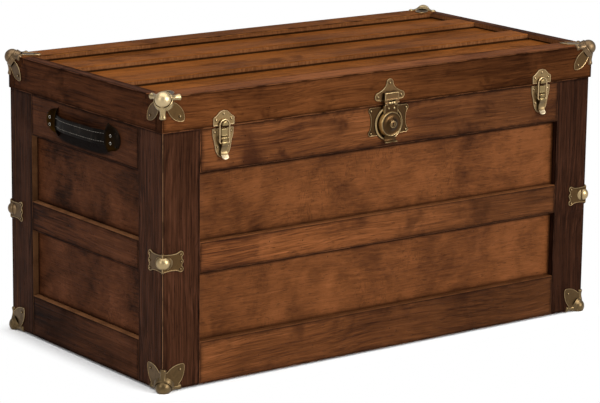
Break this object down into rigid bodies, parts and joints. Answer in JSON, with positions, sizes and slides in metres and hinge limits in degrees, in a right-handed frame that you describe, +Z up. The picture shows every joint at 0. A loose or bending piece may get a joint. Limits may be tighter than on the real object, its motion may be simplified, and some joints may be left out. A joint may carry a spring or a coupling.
{
  "type": "sea chest",
  "caption": "Framed and panelled wooden chest with a hinged lid, metal ball corners, draw latches, a hasp lock and leather end handles.",
  "frame": {"origin": "on the floor, under the middle of the closed chest's bounding box", "axes": "+X along the length to the right end, -Y to the front with the lock, +Z up"},
  "size_m": [1.103, 0.5794, 0.5796],
  "materials": {
    "dark_wood": "stained, worn satin varnish",
    "mid_wood": "stained, worn satin varnish",
    "light_wood": "stained, worn satin varnish",
    "brass": "aged, part tarnished",
    "leather": "black, waxed, creased",
    "black_metal": "dark, rubbed"
  },
  "bodies": {
    "chest": {"back_bottom_rail": "mid_wood", "back_left_post": "dark_wood", "back_panel": "light_wood", "back_right_post": "dark_wood", "back_top_rail": "mid_wood", "bottom_panel": "light_wood", "edge_clamp_back_left": "brass", "edge_clamp_back_right": "brass", "edge_clamp_front_left": "brass", "edge_clamp_front_right": "brass", "foot_corner_back_left": "brass", "foot_corner_back_right": "brass", "foot_corner_front_left": "brass", "foot_corner_front_right": "brass", "front_bottom_rail": "mid_wood", "front_left_post": "dark_wood", "front_middle_rail": "mid_wood", "front_panel": "light_wood", "front_right_post": "dark_wood", "front_top_rail": "mid_wood", "handle_cap_back_left": "black_metal", "handle_cap_back_right": "black_metal", "handle_cap_front_left": "black_metal", "handle_cap_front_right": "black_metal", "handle_strap_left": "leather", "handle_strap_right": "leather", "hinge_case_leaf": "brass", "latch_base_left": "brass", "latch_base_right": "brass", "left_bottom_rail": "dark_wood", "left_middle_rail": "dark_wood", "left_panel": "mid_wood", "left_top_rail": "dark_wood", "lock_plate": "brass", "right_bottom_rail": "dark_wood", "right_middle_rail": "dark_wood", "right_panel": "mid_wood", "right_top_rail": "dark_wood", "stay_case_bracket": "brass"},
    "lid": {"lid_front_rail": "mid_wood", "lid_back_rail": "mid_wood", "lid_left_board": "dark_wood", "lid_right_board": "dark_wood", "lid_top_panel": "light_wood", "lid_corner_front_left": "brass", "lid_corner_front_right": "brass", "lid_corner_back_left": "brass", "lid_corner_back_right": "brass", "latch_keeper_left": "brass", "latch_keeper_right": "brass", "lock_lid_plate": "brass", "hinge_lid_leaf": "brass", "stay_lid_bracket": "brass"},
    "latch_lever_left": {"latch_lever_left": "brass"},
    "latch_lever_right": {"latch_lever_right": "brass"},
    "latch_loop_left": {"latch_loop_left": "brass"},
    "latch_loop_right": {"latch_loop_right": "brass"},
    "hasp": {"hasp": "brass"},
    "lock_plug": {"key_plug": "brass"},
    "stay_arm": {"stay_arm": "brass"}
  },
  "joints": [
    {"name": "lid_hinge", "type": "hinge", "parent": "chest", "child": "lid", "pos_m": [0, 0.2837, 0.5013], "axis": [-1, 0, 0], "range_deg": [0, 95]},
    {"name": "latch_lever_left_pivot", "type": "hinge", "parent": "chest", "child": "latch_lever_left", "pos_m": [-0.396, -0.2788, 0.479], "axis": [-1, 0, 0], "range_deg": [0, 140]},
    {"name": "latch_loop_left_pivot", "type": "hinge", "parent": "latch_lever_left", "child": "latch_loop_left", "pos_m": [-0.396, -0.2788, 0.47], "axis": [-1, 0, 0], "range_deg": [-168, 0]},
    {"name": "latch_lever_right_pivot", "type": "hinge", "parent": "chest", "child": "latch_lever_right", "pos_m": [0.396, -0.2788, 0.479], "axis": [-1, 0, 0], "range_deg": [0, 140]},
    {"name": "latch_loop_right_pivot", "type": "hinge", "parent": "latch_lever_right", "child": "latch_loop_right", "pos_m": [0.396, -0.2788, 0.47], "axis": [-1, 0, 0], "range_deg": [-168, 0]},
    {"name": "hasp_hinge", "type": "hinge", "parent": "lid", "child": "hasp", "pos_m": [0, -0.2823, 0.5052], "axis": [-1, 0, 0], "range_deg": [0, 130]},
    {"name": "key_turn", "type": "hinge", "parent": "hasp", "child": "lock_plug", "pos_m": [0, -0.2891, 0.463], "axis": [0, 1, 0], "range_deg": [0, 90]},
    {"name": "stay_pivot", "type": "hinge", "parent": "lid", "child": "stay_arm", "pos_m": [0.4995, 0.1358, 0.5263], "axis": [-1, 0, 0], "range_deg": [-47.5, 0]}
  ],
  "couplings": [
    {"joint": "latch_loop_left_pivot", "follows": "latch_lever_left_pivot", "ratio": -1.2},
    {"joint": "latch_loop_right_pivot", "follows": "latch_lever_right_pivot", "ratio": -1.2},
    {"joint": "stay_pivot", "follows": "lid_hinge", "ratio": -0.5}
  ]
}
